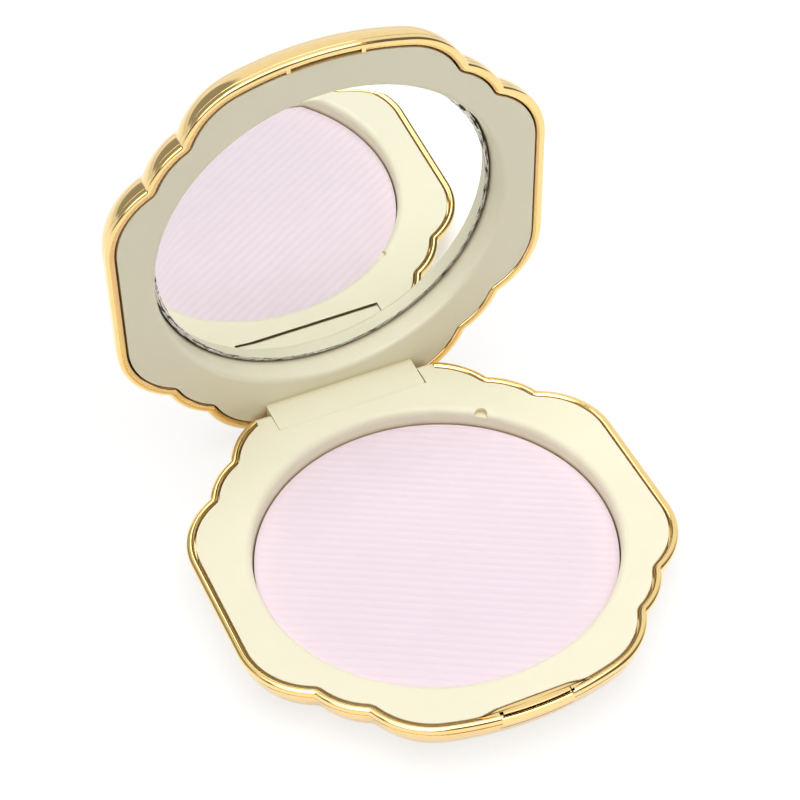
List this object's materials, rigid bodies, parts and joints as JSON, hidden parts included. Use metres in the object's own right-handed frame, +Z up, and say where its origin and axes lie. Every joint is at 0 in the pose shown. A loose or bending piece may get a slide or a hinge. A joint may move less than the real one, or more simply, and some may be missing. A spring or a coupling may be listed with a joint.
{
  "type": "powder compact",
  "caption": "Hinged scalloped powder compact: gold shells, cream trays, mirror in the lid, pressed powder in the base and a front push-button latch.",
  "frame": {"origin": "centre of the flat resting face under the base, on the compact's middle plane", "axes": "+Z up, hinge at +Y, push button at -Y, +X to the right as the user faces the button"},
  "size_m": [0.0756, 0.0865, 0.0812],
  "materials": {
    "gold_plating": "moulded plastic with polished gold vacuum plating",
    "gold_metal": "thin stamped strip, gold plated",
    "cream_plastic": "cream moulded plastic, satin gloss",
    "pan_metal": "bright stamped",
    "pressed_powder": "pressed powder with fine ribs, matte",
    "adhesive": "clear glue or white foam tape",
    "steel": "bright drawn",
    "glass": "clear polished, ground bevel",
    "silvering": "silvered back coat"
  },
  "bodies": {
    "base": {"base_shell": "gold_plating", "base_tray": "cream_plastic", "powder_pan": "pan_metal", "powder_cake": "pressed_powder", "pan_adhesive": "adhesive", "hinge_pin": "steel", "button_spring": "steel"},
    "button": {"push_button": "gold_plating"},
    "lid": {"lid_shell": "gold_plating", "lid_tray": "cream_plastic", "catch_plate": "gold_metal", "mirror_glass": "glass", "mirror_silver": "silvering", "mirror_tape": "adhesive"}
  },
  "joints": [
    {"name": "lid_hinge", "type": "hinge", "parent": "base", "child": "lid", "pos_m": [0, 0.0355, 0.0056], "axis": [1, 0, 0], "range_deg": [-8, 86.7]},
    {"name": "button_press", "type": "slide", "parent": "base", "child": "button", "axis": [0, 1, 0], "range_m": [0, 0.00035], "stiffness_N_per_m": 300, "springref_m": -0.0008, "deforming": ["button_spring"]}
  ]
}
